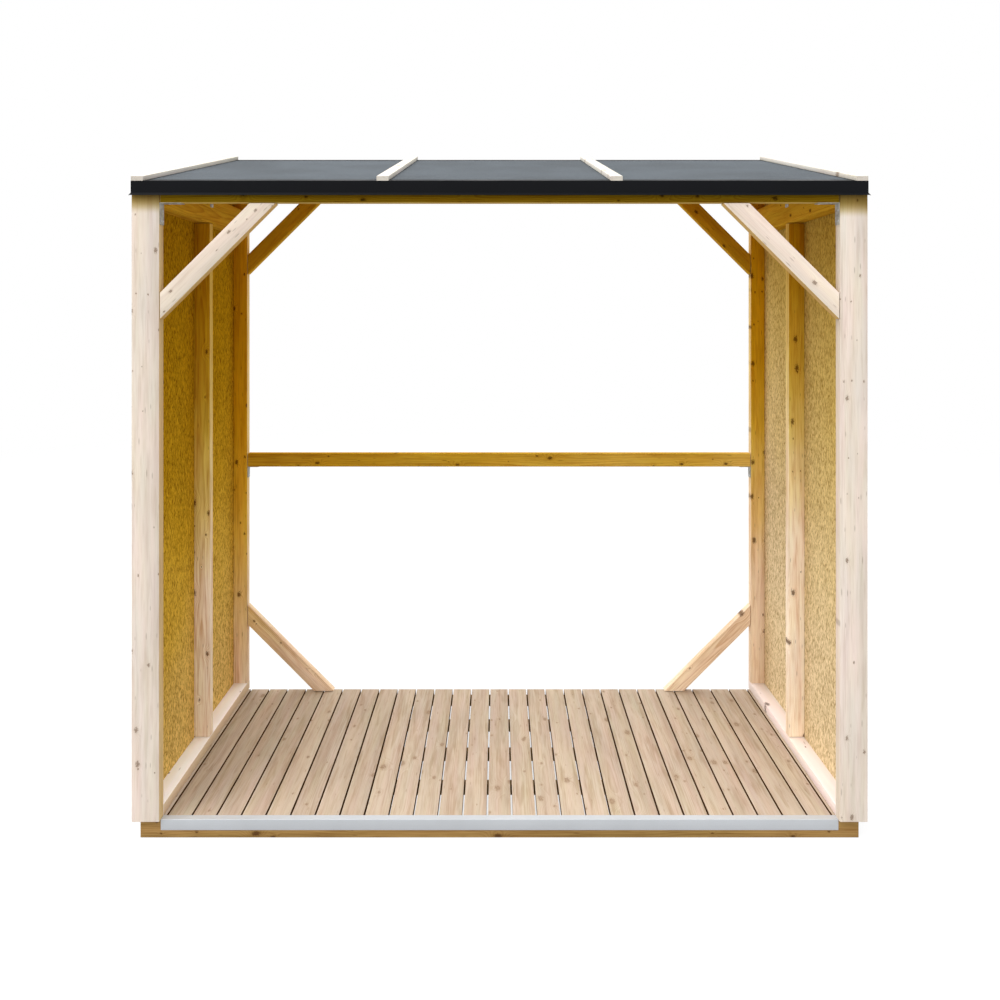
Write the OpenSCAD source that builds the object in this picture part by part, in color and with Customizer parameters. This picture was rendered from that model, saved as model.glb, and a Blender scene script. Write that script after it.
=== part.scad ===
// Open log store with a slatted deck, two closed side walls and a pent roof.
// The origin lies on the ground under the middle of the store. +Z is up and the open,
// lower front looks towards -Y. All sizes are in millimetres.

/* [Base] */
// Number of deck boards across the width
board_count = 29; // [15:1:41]
// Width of one deck board
board_w = 93; // [70:1:145]
// Gap between two deck boards
board_gap = 7; // [3:1:12]
// Thickness of the deck boards
board_t = 28; // [19:1:45]
// Depth of the base, from the rim board's face to the back end of the deck
base_d = 1196; // [800:1:2000]
// Height and width of the square joists
joist_s = 45; // [38:1:95]
// Number of joists under the deck
joist_count = 5; // [3:1:8]
// Thickness of the rim board along the front of the base
rim_t = 20; // [15:1:35]

/* [Sill strip] */
// Depth of the strip's flange that lies on the deck
strip_top_w = 30; // [15:1:60]
// Height of the strip's flange in front of the rim board
strip_face_h = 43; // [15:1:60]
// Thickness of the strip's metal
strip_t = 2; // [1:0.5:4]
// Gap between each end of the strip and the front post
strip_end_gap = 0.5; // [0:0.5:5]

/* [Side walls] */
// How far the front posts stand out past the side of the deck
side_overhang = 30; // [0:1:60]
// How far the walls stand out past the front and the back of the base
end_overhang = 16; // [0:1:40]
// Width of the front posts, seen from the front
post_w = 112; // [108:1:160]
// Thickness of posts, studs, plates, braces and headers
timber_t = 45; // [35:1:60]
// Width of studs, sole plates and side beams
stud_w = 75; // [60:1:80]
// Thickness of the inner wall sheet
sheet_t = 12; // [8:1:15]
// Thickness of the outer cladding boards
clad_t = 20; // [12:1:25]
// How far the side beams' underside lies under the front header's underside
beam_drop = 12; // [0:1:60]
// Height of the side beams
beam_h = 125; // [75:1:150]

/* [Front and back frame] */
// Height of the front header's underside over the deck
header_z = 2484; // [2000:1:2700]
// Height of the front header at its face
header_h = 67; // [45:1:120]
// Height of the back header at its inner face
back_header_h = 129; // [75:1:200]
// Width of the diagonal braces' faces
brace_w = 75; // [45:1:95]
// Length of a brace's long edge along each member that it joins
brace_leg = 470; // [250:1:600]
// Height of the back rail's underside over the deck
rail_z = 1218; // [800:1:1600]
// Height of the back rail
rail_h = 72; // [45:1:120]

/* [Roof] */
// Pitch of the roof in degrees
roof_pitch = 14.5; // [8:0.5:25]
// How far the roof boards stand out past the front and back posts
eave = 3; // [0:1:30]
// Thickness of the roof boards
roof_t = 16; // [12:1:22]
// Thickness of the roofing felt
felt_t = 3; // [2:1:5]
// Width of the battens on the roof
batten_w = 48; // [35:1:75]
// Height of the battens on the roof
batten_h = 18; // [12:1:35]
// Distance of each inner batten's middle from the middle of the roof
inner_batten_x = 469; // [200:1:500]
// Height of the edge trims
trim_h = 58; // [40:1:90]
// Thickness of the edge trims' metal
trim_t = 1; // [0.6:0.2:2]
// Width of the edge trims' flange on the felt
trim_flange = 50; // [48:1:80]
// How far the drip edge stands out at the foot of a trim
drip_w = 11; // [5:1:20]
// Height of the drip edge
drip_h = 11; // [5:1:20]

/* [Brackets] */
// Length of the legs of the two brackets under the front header
front_bracket_leg = 88; // [50:1:120]
// Length of the legs of the brackets under the back rail
rail_bracket_leg = 60; // [40:1:100]
// Length of the legs of the brackets under the purlin
purlin_bracket_leg = 50; // [40:1:100]
// Width of all brackets
bracket_w = 40; // [20:1:44]
// Thickness of the brackets' metal
bracket_t = 2.5; // [1.5:0.5:4]

/* [Hidden] */
JOISTS = [for (i = [1 : joist_count]) str("joist_", i)];

LEFT = -1;
RIGHT = 1;

// Base
deck_z = joist_s + board_t;
board_pitch = board_w + board_gap;
deck_w = board_count * board_pitch - board_gap;
rim_face_y = -base_d / 2;
deck_back_y = base_d / 2;
boards_front_y = rim_face_y + rim_t;
joist_span = deck_back_y - boards_front_y - joist_s;

// Walls, measured outwards from the middle of the store
wall_front_y = rim_face_y - end_overhang;
wall_back_y = deck_back_y + end_overhang;
post_back_y = wall_front_y + timber_t;
back_frame_y = wall_back_y - timber_t;
post_out_x = deck_w / 2 + side_overhang;
wall_in_x = post_out_x - post_w;
sheet_x = wall_in_x + stud_w;
clad_x = sheet_x + sheet_t;

// Heights over the ground
sole_top_z = deck_z + timber_t;
front_header_z = deck_z + header_z;
side_beam_z = front_header_z - beam_drop;
side_beam_top_z = side_beam_z + beam_h;

// Roof planes
roof_front_y = wall_front_y - eave;
roof_back_y = wall_back_y + eave;
back_header_z = roof_under_z(back_frame_y) - back_header_h;
felt_top = roof_t + felt_t;
flange_top = felt_top + trim_t;
above_roof_z = roof_z(roof_back_y, flange_top) + trim_h;
edge_batten_x = post_out_x - batten_w / 2;
brace_short_leg = brace_leg - brace_w * sqrt(2);

// Height of the roof boards' underside at a place along the slope
function roof_under_z(y) = front_header_z + header_h + (y - wall_front_y) * tan(roof_pitch);

// Height of a plane that lies a thickness above the roof boards' underside
function roof_z(y, above) = roof_under_z(y) + above / cos(roof_pitch);

// Base and frame helpers

module block(from, to) {
    translate(from) cube(to - from);
}

// A shape drawn for the right side, mirrored for the left one
module on_side(side) {
    if (side == LEFT) mirror([1, 0, 0]) children();
    else children();
}

// An outline in Y and Z, extruded along X
module along_x(x0, x1) {
    translate([x0, 0, 0]) rotate([90, 0, 90]) linear_extrude(x1 - x0) children();
}

// An outline in X and Z, extruded along Y
module along_y(y0, y1) {
    translate([0, y1, 0]) rotate([90, 0, 0]) linear_extrude(y1 - y0) children();
}

// An upright piece whose top follows the roof boards
module up_to_roof(x0, x1, y0, y1, z0) {
    along_x(x0, x1)
        polygon([[y0, z0], [y1, z0], [y1, roof_under_z(y1)], [y0, roof_under_z(y0)]]);
}

// A layer of the roof between two heights over the roof boards' underside
module roof_layer(x0, x1, y0, y1, low, high) {
    along_x(x0, x1)
        polygon([[y0, roof_z(y0, low)], [y1, roof_z(y1, low)],
                 [y1, roof_z(y1, high)], [y0, roof_z(y0, high)]]);
}

// Base

module joist(i) {
    y = boards_front_y + i * joist_span / (joist_count - 1);
    color("burlywood") block([-deck_w / 2, y, 0], [deck_w / 2, y + joist_s, joist_s]);
}

module front_rim() {
    color("peru")
        block([-deck_w / 2, rim_face_y, 0], [deck_w / 2, boards_front_y, deck_z]);
}

module deck_boards() {
    color("tan")
        for (i = [0 : board_count - 1])
            translate([-deck_w / 2 + i * board_pitch, boards_front_y, joist_s])
                cube([board_w, deck_back_y - boards_front_y, board_t]);
}

module sill_strip() {
    half = wall_in_x - strip_end_gap;
    face_y = rim_face_y - strip_t;
    top_z = deck_z + strip_t;
    color("silver")
        along_x(-half, half)
            polygon([[face_y, top_z - strip_face_h], [rim_face_y, top_z - strip_face_h],
                     [rim_face_y, deck_z], [face_y + strip_top_w, deck_z],
                     [face_y + strip_top_w, top_z], [face_y, top_z]]);
}

// Side walls

module sole_plate(side) {
    color("wheat")
        on_side(side)
            block([wall_in_x, post_back_y, deck_z], [sheet_x, wall_back_y, sole_top_z]);
}

module front_post(side) {
    color("antiquewhite")
        on_side(side) up_to_roof(wall_in_x, post_out_x, wall_front_y, post_back_y, deck_z);
}

module mid_stud(side) {
    color("wheat")
        on_side(side)
            block([wall_in_x, -timber_t / 2, sole_top_z], [sheet_x, timber_t / 2, side_beam_z]);
}

module back_post(side) {
    color("wheat")
        on_side(side) up_to_roof(wall_in_x, sheet_x, back_frame_y, wall_back_y, sole_top_z);
}

module side_beam(side) {
    color("burlywood")
        on_side(side)
            intersection() {
                block([wall_in_x, post_back_y, side_beam_z], [sheet_x, back_frame_y, side_beam_top_z]);
                up_to_roof(wall_in_x, sheet_x, post_back_y, back_frame_y, deck_z);
            }
}

module wall_sheet(side) {
    color("goldenrod")
        on_side(side) up_to_roof(sheet_x, clad_x, post_back_y, wall_back_y, deck_z);
}

module cladding(side) {
    color("burlywood")
        on_side(side) up_to_roof(clad_x, clad_x + clad_t, post_back_y, wall_back_y, deck_z);
}

// Front and back frame

module front_header() {
    color("burlywood") up_to_roof(-wall_in_x, wall_in_x, wall_front_y, post_back_y, front_header_z);
}

module back_header() {
    color("burlywood") up_to_roof(-wall_in_x, wall_in_x, back_frame_y, wall_back_y, back_header_z);
}

module back_rail() {
    color("burlywood")
        block([-wall_in_x, back_frame_y, deck_z + rail_z],
              [wall_in_x, wall_back_y, deck_z + rail_z + rail_h]);
}

// A diagonal brace in the corner between an upright and a level member at corner_z.
// It hangs under the member with dir -1 and stands on it with dir 1.
module brace(side, y0, corner_z, dir) {
    color("antiquewhite")
        on_side(side)
            along_y(y0, y0 + timber_t)
                polygon([[wall_in_x, corner_z + dir * brace_leg],
                         [wall_in_x, corner_z + dir * brace_short_leg],
                         [wall_in_x - brace_short_leg, corner_z],
                         [wall_in_x - brace_leg, corner_z]]);
}

// Roof

module mid_purlin() {
    color("burlywood") up_to_roof(-sheet_x, sheet_x, -timber_t / 2, timber_t / 2, side_beam_top_z);
}

module roof_boards() {
    color("burlywood") roof_layer(-post_out_x, post_out_x, roof_front_y, roof_back_y, 0, roof_t);
}

module roof_felt() {
    color("slategray")
        roof_layer(-post_out_x, post_out_x, roof_front_y, roof_back_y, roof_t, felt_top);
}

// The trim of the low front edge, dir -1, or the high back edge, dir 1. Its flange lies on
// the felt between the side trims' flanges, and its face covers the ends of the side trims.
module eave_trim(edge_y, dir) {
    half = post_out_x + trim_t;
    flange_half = post_out_x - trim_flange;
    flange_y = edge_y - dir * trim_flange;
    face_y = edge_y + dir * trim_t;
    foot_z = roof_z(edge_y, felt_top) - trim_h;
    color([0.11, 0.12, 0.13]) {
        roof_layer(-flange_half, flange_half, min(flange_y, edge_y), max(flange_y, edge_y),
                   felt_top, flange_top);
        along_x(-half, half)
            polygon([[edge_y, roof_z(edge_y, flange_top)], [face_y, roof_z(face_y, flange_top)],
                     [face_y, foot_z + drip_h], [face_y + dir * drip_w, foot_z],
                     [edge_y + dir * drip_w, foot_z], [edge_y, foot_z + drip_h]]);
    }
}

// A trim along the slope, with plumb ends behind the front and back trims
module side_trim(side) {
    slope_l = (roof_back_y - roof_front_y) / cos(roof_pitch);
    foot = -trim_h * cos(roof_pitch);
    out_x = post_out_x + trim_t;
    color([0.11, 0.12, 0.13])
        on_side(side)
            intersection() {
                block([post_out_x - trim_flange, roof_front_y, deck_z],
                      [out_x + drip_w, roof_back_y, above_roof_z]);
                translate([0, roof_back_y, roof_z(roof_back_y, felt_top)])
                    rotate([90 + roof_pitch, 0, 0])
                        translate([0, 0, -trim_h])
                            linear_extrude(slope_l + 2 * trim_h)
                                polygon([[post_out_x - trim_flange, 0],
                                         [post_out_x - trim_flange, trim_t], [out_x, trim_t],
                                         [out_x, foot + drip_h], [out_x + drip_w, foot],
                                         [post_out_x + drip_w, foot], [post_out_x, foot + drip_h],
                                         [post_out_x, 0]]);
            }
}

module batten(middle_x) {
    color("lightgray")
        roof_layer(middle_x - batten_w / 2, middle_x + batten_w / 2,
                   roof_front_y - trim_t, roof_back_y + trim_t, flange_top, flange_top + batten_h);
}

// Brackets

// An angle bracket in the right-hand corner under a level member
module corner_bracket(middle_y, corner_z, leg) {
    along_y(middle_y - bracket_w / 2, middle_y + bracket_w / 2)
        polygon([[wall_in_x, corner_z], [wall_in_x, corner_z - leg],
                 [wall_in_x - bracket_t, corner_z - leg],
                 [wall_in_x - bracket_t, corner_z - bracket_t],
                 [wall_in_x - leg, corner_z - bracket_t], [wall_in_x - leg, corner_z]]);
}

module bracket_pair(middle_y, corner_z, leg) {
    color("silver")
        for (side = [LEFT, RIGHT])
            on_side(side) corner_bracket(middle_y, corner_z, leg);
}

module front_brackets() {
    bracket_pair(wall_front_y + timber_t / 2, front_header_z, front_bracket_leg);
}

module rail_brackets() {
    bracket_pair(wall_back_y - timber_t / 2, deck_z + rail_z, rail_bracket_leg);
}

module purlin_brackets() {
    bracket_pair(0, side_beam_top_z, purlin_bracket_leg);
}

for (i = [0 : joist_count - 1])
    joist(i);
front_rim();
deck_boards();
sill_strip();
sole_plate(LEFT);  // left_sole_plate
front_post(LEFT);  // left_front_post
mid_stud(LEFT);  // left_mid_stud
back_post(LEFT);  // left_back_post
side_beam(LEFT);  // left_side_beam
wall_sheet(LEFT);  // left_wall_sheet
cladding(LEFT);  // left_cladding
sole_plate(RIGHT);  // right_sole_plate
front_post(RIGHT);  // right_front_post
mid_stud(RIGHT);  // right_mid_stud
back_post(RIGHT);  // right_back_post
side_beam(RIGHT);  // right_side_beam
wall_sheet(RIGHT);  // right_wall_sheet
cladding(RIGHT);  // right_cladding
front_header();
brace(LEFT, wall_front_y, front_header_z, -1);  // left_front_brace
brace(RIGHT, wall_front_y, front_header_z, -1);  // right_front_brace
back_header();
back_rail();
brace(LEFT, back_frame_y, back_header_z, -1);  // left_upper_back_brace
brace(RIGHT, back_frame_y, back_header_z, -1);  // right_upper_back_brace
brace(LEFT, back_frame_y, deck_z, 1);  // left_lower_back_brace
brace(RIGHT, back_frame_y, deck_z, 1);  // right_lower_back_brace
mid_purlin();
roof_boards();
roof_felt();
eave_trim(roof_front_y, -1);  // front_edge_trim
eave_trim(roof_back_y, 1);  // back_edge_trim
side_trim(LEFT);  // left_edge_trim
side_trim(RIGHT);  // right_edge_trim
batten(-edge_batten_x);  // left_edge_batten
batten(edge_batten_x);  // right_edge_batten
batten(-inner_batten_x);  // left_inner_batten
batten(inner_batten_x);  // right_inner_batten
front_brackets();
rail_brackets();
purlin_brackets();
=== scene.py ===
"""Open log store: planed timbers, strand board walls and a felt roof, modelled around its frame."""

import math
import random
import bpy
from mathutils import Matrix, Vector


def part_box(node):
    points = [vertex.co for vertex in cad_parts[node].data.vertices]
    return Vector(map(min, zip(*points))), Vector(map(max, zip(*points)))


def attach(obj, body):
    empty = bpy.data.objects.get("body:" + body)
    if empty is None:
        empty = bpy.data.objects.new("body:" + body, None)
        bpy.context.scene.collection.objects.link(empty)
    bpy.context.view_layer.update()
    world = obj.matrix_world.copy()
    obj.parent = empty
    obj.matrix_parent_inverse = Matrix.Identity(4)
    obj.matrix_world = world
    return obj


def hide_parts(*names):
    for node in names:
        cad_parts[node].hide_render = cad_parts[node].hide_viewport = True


bl_info = {
    "name": "Open Log Store",
    "version": (1, 0, 0),
    "blender": (4, 5, 0),
    "location": "View3D > Sidebar > Log Store",
    "description": "Models the timbers, wall sheets, cladding, felt roof and metalwork of a log store",
    "category": "Add Mesh",
}

from contextlib import contextmanager
from functools import cache

import bmesh
import bpy
from bpy.props import FloatProperty, FloatVectorProperty, IntProperty, PointerProperty
from bpy.types import Operator, Panel, PropertyGroup
from mathutils import Vector

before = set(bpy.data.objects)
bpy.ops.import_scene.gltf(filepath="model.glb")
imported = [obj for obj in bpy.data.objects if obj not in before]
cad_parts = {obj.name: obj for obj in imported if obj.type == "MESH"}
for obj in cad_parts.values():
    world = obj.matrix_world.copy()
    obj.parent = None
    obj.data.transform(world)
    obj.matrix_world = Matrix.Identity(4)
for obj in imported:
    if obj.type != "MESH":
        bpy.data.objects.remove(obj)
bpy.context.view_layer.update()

SIDES = ("left", "right")
X = Vector((1, 0, 0))
Y = Vector((0, 1, 0))
Z = Vector((0, 0, 1))


# ---------------------------------------------------------------- sizes read from the frame


def box(node):
    low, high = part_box(node)
    return Vector(low), Vector(high)


FRONT_POST_LOW, FRONT_POST_HIGH = box("right_front_post")
BACK_POST_HIGH = box("right_back_post")[1]
DECK_Z = FRONT_POST_LOW.z
ROOF_SLOPE = (BACK_POST_HIGH.z - FRONT_POST_HIGH.z) / (BACK_POST_HIGH.y - FRONT_POST_HIGH.y)
PITCH = math.atan(ROOF_SLOPE)
SLOPE_UP = Vector((0, math.cos(PITCH), math.sin(PITCH)))
ROOF_NORMAL = Vector((0, -math.sin(PITCH), math.cos(PITCH)))


def roof_under_z(y):
    """Height of the roof boards' underside."""
    return FRONT_POST_HIGH.z + (y - FRONT_POST_HIGH.y) * ROOF_SLOPE


# The point and the normal of the plane that takes away what would stand above that underside.
ROOF_CUT = (Vector((0, FRONT_POST_LOW.y, roof_under_z(FRONT_POST_LOW.y))), ROOF_NORMAL)


# ---------------------------------------------------------------- settings


def length(name, description, value):
    return FloatProperty(name=name, description=description, default=value, unit="LENGTH")


def number(name, description, value):
    return FloatProperty(name=name, description=description, default=value)


def angle(name, description, degrees):
    return FloatProperty(
        name=name, description=description, default=math.radians(degrees), subtype="ANGLE"
    )


def colour(name, description, value):
    return FloatVectorProperty(
        name=name, description=description, subtype="COLOR", size=4, min=0, max=1, default=(*value, 1)
    )


class LogStoreTimber(PropertyGroup):
    arris: length("Arris", "Rounding of the planed edges", 0.0035)
    end_arris: length("End arris", "Rounding of the sawn ends", 0.0008)
    deck_arris: length("Deck arris", "Rounding of the deck boards' edges", 0.0010)
    joint_gap: length("Joint gap", "Open joint at each end of a timber", 0.003)
    brace_width: length("Brace width", "Width of a diagonal brace's face", 0.075)
    cladding_cover: length("Cladding cover", "Visible width of a cladding board", 0.118)
    roof_cover: length("Roof board cover", "Visible width of a roof board", 0.105)
    vee: length("Vee", "Chamfer of a matched board's edges", 0.0035)
    seed: IntProperty(name="Seed", description="Choice of boards from the pile", default=7, min=0)


class LogStoreRoof(PropertyGroup):
    board_thickness: length("Roof boards", "Thickness of the roof boards", 0.016)
    felt_thickness: length("Felt", "Thickness of the felt", 0.003)
    felt_wave: length("Felt wave", "Depth of the felt's waves", 0.0007)
    flat_edge: length("Flat edge", "Width of the felt's edges that have no waves", 0.06)
    metal_thickness: length("Trim metal", "Thickness of the edge trims", 0.001)
    batten_height: length("Batten height", "Height of the roof battens", 0.018)
    batten_arris: length("Batten arris", "Rounding of the roof battens", 0.0012)


class LogStoreBracket(PropertyGroup):
    metal: length("Bracket metal", "Thickness of the brackets", 0.0025)
    hole: length("Bracket hole", "Diameter of the screw holes", 0.006)
    corner: length("Bracket corner", "Rounding of a leg's corners", 0.005)
    head: length("Screw head", "Diameter of the screw heads", 0.0095)


class LogStoreColours(PropertyGroup):
    front_early: colour("Front early", "Pale wood of the front posts", (0.735, 0.645, 0.565))
    front_late: colour("Front late", "Year rings of the front posts", (0.535, 0.435, 0.345))
    brace_early: colour("Brace early", "Pale wood of the front braces", (0.82, 0.71, 0.60))
    brace_late: colour("Brace late", "Year rings of the front braces", (0.60, 0.48, 0.37))
    sole_early: colour("Sole early", "Pale wood of the sole plates", (0.97, 0.93, 0.92))
    sole_late: colour("Sole late", "Year rings of the sole plates", (0.92, 0.84, 0.77))
    deck_early: colour("Deck early", "Pale wood of the deck", (0.485, 0.395, 0.31))
    deck_late: colour("Deck late", "Year rings of the deck", (0.35, 0.26, 0.18))
    frame_early: colour("Frame early", "Pale wood of the inner frame", (0.97, 0.80, 0.61))
    frame_late: colour("Frame late", "Year rings of the inner frame", (0.66, 0.43, 0.26))
    stud_early: colour("Stud early", "Pale wood of the studs", (0.99, 0.89, 0.73))
    stud_late: colour("Stud late", "Year rings of the studs", (0.68, 0.46, 0.29))
    # Painted shade: the ambers for wood, studs, beams and the header are tints that a mask lays on
    # deeper with height under the roof, not the wood's own colour.
    amber: colour("Amber", "Tint of wood that stays in the shelter", (0.78, 0.51, 0.014))
    plain: colour("Plain", "No tint on faces that look inwards or down", (1.0, 1.0, 1.0))
    # Painted shade: tan, brace tan and sole tan darken faces that look inwards or down, and sole shade
    # darkens the sole plates towards the right.
    tan: colour("Tan", "Tint of the front posts' faces that look inwards or down", (1.0, 0.85, 0.52))
    brace_tan: colour("Brace tan", "Tint of the front braces' undersides", (0.86, 0.68, 0.32))
    sole_tan: colour("Sole tan", "Tint of the sole plates' faces that look inwards", (0.74, 0.60, 0.42))
    sole_shade: colour("Sole shade", "Tint of the sole plates towards the right", (0.86, 0.78, 0.76))
    stud_amber: colour("Stud amber", "Tint of the studs in the shelter", (0.60, 0.355, 0.011))
    beam_amber: colour("Beam amber", "Tint of beams, rail and upper braces", (0.60, 0.40, 0.02))
    header_amber: colour("Header amber", "Tint of the front header", (0.203, 0.152, 0.0075))
    # Painted shadow: the eaves tint darkens the tops of the front posts just under the front trim.
    eaves: colour("Eaves", "Tint of wood close under the eaves", (0.30, 0.22, 0.06))
    base_early: colour("Base early", "Treated wood of the base", (0.44, 0.27, 0.095))
    base_late: colour("Base late", "Year rings of the treated base", (0.20, 0.10, 0.024))
    cladding_early: colour("Cladding early", "Pale wood of the cladding", (0.70, 0.58, 0.44))
    cladding_late: colour("Cladding late", "Year rings of the cladding", (0.55, 0.40, 0.26))
    batten_early: colour("Batten early", "Pale sawn battens", (0.62, 0.59, 0.535))
    batten_late: colour("Batten late", "Year rings of the battens", (0.52, 0.465, 0.395))
    knot: colour("Knot", "Heart of a knot", (0.085, 0.035, 0.014))
    deck_knot: colour("Deck knot", "Rim of a knot in the deck", (0.20, 0.115, 0.065))
    bleached_knot: colour("Bleached knot", "Heart of a knot in pale wood", (0.22, 0.155, 0.11))
    # Painted light and shade: the left sheet's strands are a darker, more saturated shaded copy of the
    # right sheet's paler, lit ones, and each sheet's amber is painted shade that deepens with height.
    left_light: colour("Left strands light", "Palest strands of the left sheet", (0.87, 0.60, 0.19))
    left_dark: colour("Left strands dark", "Darkest strands of the left sheet", (0.30, 0.17, 0.035))
    left_amber: colour("Left amber", "Tint of the left sheet in the shelter", (0.63, 0.50, 0.04))
    right_light: colour("Right strands light", "Palest strands of the right sheet", (0.82, 0.66, 0.41))
    right_dark: colour("Right strands dark", "Darkest strands of the right sheet", (0.34, 0.225, 0.09))
    right_amber: colour("Right amber", "Tint of the right sheet in the shelter", (0.66, 0.53, 0.12))
    felt: colour("Felt", "Roofing felt", (0.055, 0.065, 0.075))
    felt_grain: colour("Felt grain", "Mineral grains on the felt", (0.11, 0.127, 0.142))
    trim: colour("Trim", "Painted edge trims", (0.004, 0.0045, 0.006))
    sill: colour("Sill", "Aluminium sill strip", (0.54, 0.565, 0.60))
    zinc: colour("Zinc", "Galvanised brackets", (0.36, 0.345, 0.29))
    floor: colour("Floor", "Studio floor", (0.86, 0.86, 0.86))
    floor_shade: colour("Floor shade", "What the floor gives back to the store", (0.33, 0.33, 0.33))


class LogStoreStage(PropertyGroup):
    eye_distance: length("Eye distance", "From the eye to the sill strip", 3.3776)
    eye_height: length("Eye height", "From the deck's top to the eye", 2.0115)
    eye_side: length("Eye side", "Eye's place to the right of the middle", -0.008)
    lens: number("Lens", "Focal length in millimetres", 30.206)
    shift_x: number("Shift X", "Sideways shift of the lens", 0.0024)
    shift_y: number("Shift Y", "Upright shift of the lens", -0.1797)
    sky: number("Sky", "Strength of the studio light at the horizon", 0.36)
    sky_top: number("Sky top", "Strength added overhead", 1.9)
    sky_left: number("Sky left", "Strength added on the left", 1.0)
    key: number("Key", "Strength of the soft key lamp", 1.0)
    key_height: angle("Key height", "Key lamp over the floor", 62)
    key_turn: angle("Key turn", "Key lamp to the left", 50)
    key_size: angle("Key size", "Angle that the key lamp fills", 32)
    fade_from: length("Fade from", "Distance where the floor starts to fade to white", 3.0)
    fade_to: length("Fade to", "Distance where the floor is white", 12.0)
    near_white: number("Near white", "Share of white in the floor around the store", 0.86)
    floor_size: length("Floor size", "Side of the studio floor", 80.0)
    far: length("Far", "Farthest distance that the camera sees", 200.0)


# ---------------------------------------------------------------- modelling helpers


def deselect_all():
    if bpy.context.object and bpy.context.object.mode != "OBJECT":
        bpy.ops.object.mode_set(mode="OBJECT")
    bpy.ops.object.select_all(action="DESELECT")


def choose(*pieces):
    deselect_all()
    for piece in pieces:
        piece.select_set(True)
    bpy.context.view_layer.objects.active = pieces[0]


def apply_transforms(piece):
    choose(piece)
    bpy.ops.object.transform_apply(location=True, rotation=True, scale=True)


@contextmanager
def editing(piece):
    """Edit mode on one piece, with nothing selected."""
    choose(piece)
    bpy.ops.object.mode_set(mode="EDIT")
    bpy.ops.mesh.select_all(action="DESELECT")
    yield
    bpy.ops.object.mode_set(mode="OBJECT")


def select_parts(kind, test):
    """Selects the vertices, edges or faces that pass a test, in edit mode."""
    data = bpy.context.edit_object.data
    bpy.context.tool_settings.mesh_select_mode = (kind == "verts", kind == "edges", kind == "faces")
    bpy.ops.mesh.select_all(action="DESELECT")
    mesh = bmesh.from_edit_mesh(data)
    for part in getattr(mesh, kind):
        if test(part):
            part.select_set(True)
    mesh.select_flush_mode()
    bmesh.update_edit_mesh(data)


NEAR = 1e-5
# How far an edge or a normal has to lean a way to count as running or facing that way.
RUNNING = 0.99
FACING = 0.9


def on_plane(edge, normal, level):
    """True for an edge that lies in the plane at that level along a normal."""
    return all(abs(v.co.dot(normal) - level) < NEAR for v in edge.verts)


def edge_direction(edge):
    return (edge.verts[1].co - edge.verts[0].co).normalized()


def runs_along(direction):
    return lambda edge: abs(edge_direction(edge).dot(direction)) > RUNNING


def faces(direction):
    return lambda face: face.normal.dot(direction) > FACING


def bevel_selected(width, segments=2):
    if width > 0:
        bpy.ops.mesh.bevel(offset=width, segments=segments, affect="EDGES", clamp_overlap=True)


def cut_away(point, normal):
    """Cuts the piece in edit mode at a plane and closes it. What the normal points to goes."""
    bpy.ops.mesh.select_all(action="SELECT")
    bpy.ops.mesh.bisect(plane_co=point, plane_no=normal, use_fill=True, clear_outer=True)


def add_block(name, low, high):
    """A cube primitive between two corners."""
    deselect_all()
    middle = (low + high) / 2
    bpy.ops.mesh.primitive_cube_add(size=1, location=middle)
    piece = bpy.context.object
    piece.name = name
    piece.data.name = name
    piece.scale = high - low
    apply_transforms(piece)
    return piece


def smooth(piece, degrees=25):
    choose(piece)
    bpy.ops.object.shade_smooth_by_angle(angle=math.radians(degrees))


def join(name, pieces):
    choose(*pieces)
    bpy.ops.object.join()
    joined = bpy.context.object
    joined.name = name
    joined.data.name = name
    return joined


def copy_piece(piece, name, move, rotation=(0, 0, 0)):
    """A copy with its own mesh, turned about the frame's origin and then moved."""
    choose(piece)
    bpy.ops.object.duplicate(linked=False)
    copy = bpy.context.object
    copy.name = name
    copy.data.name = name
    copy.rotation_euler = rotation
    copy.location = move
    apply_transforms(copy)
    return copy


HALF_TURN = (0, 0, math.pi)


def face_values(piece, name, value_of):
    """Stores a number on each face, worked out from the way it looks."""
    layer = piece.data.attributes.new(name, "FLOAT", "FACE")
    for face, value in zip(piece.data.polygons, layer.data):
        value.value = value_of(face.normal)


# How far a normal has to lean a way before its face is a sawn end, a flank, or looks in, down or back.
END_LEAN = 0.6
FLANK_LEAN = 0.8
INWARD_LEAN = 0.6
DOWNWARD_LEAN = 0.4
BACKWARD_LEAN = 0.3
# How much of the inner tint, which is painted shade, a face takes that looks inwards, on the left and on
# the right.
INNER_SHADE_SHARES = {-1: 1.0, 1: 0.08}


# Where in its log a board may have been sawn: along it, beside its heart, and how far out.
LOG_RANGES = ((0, 40), (-0.12, 0.12), (0.05, 0.13))


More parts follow.
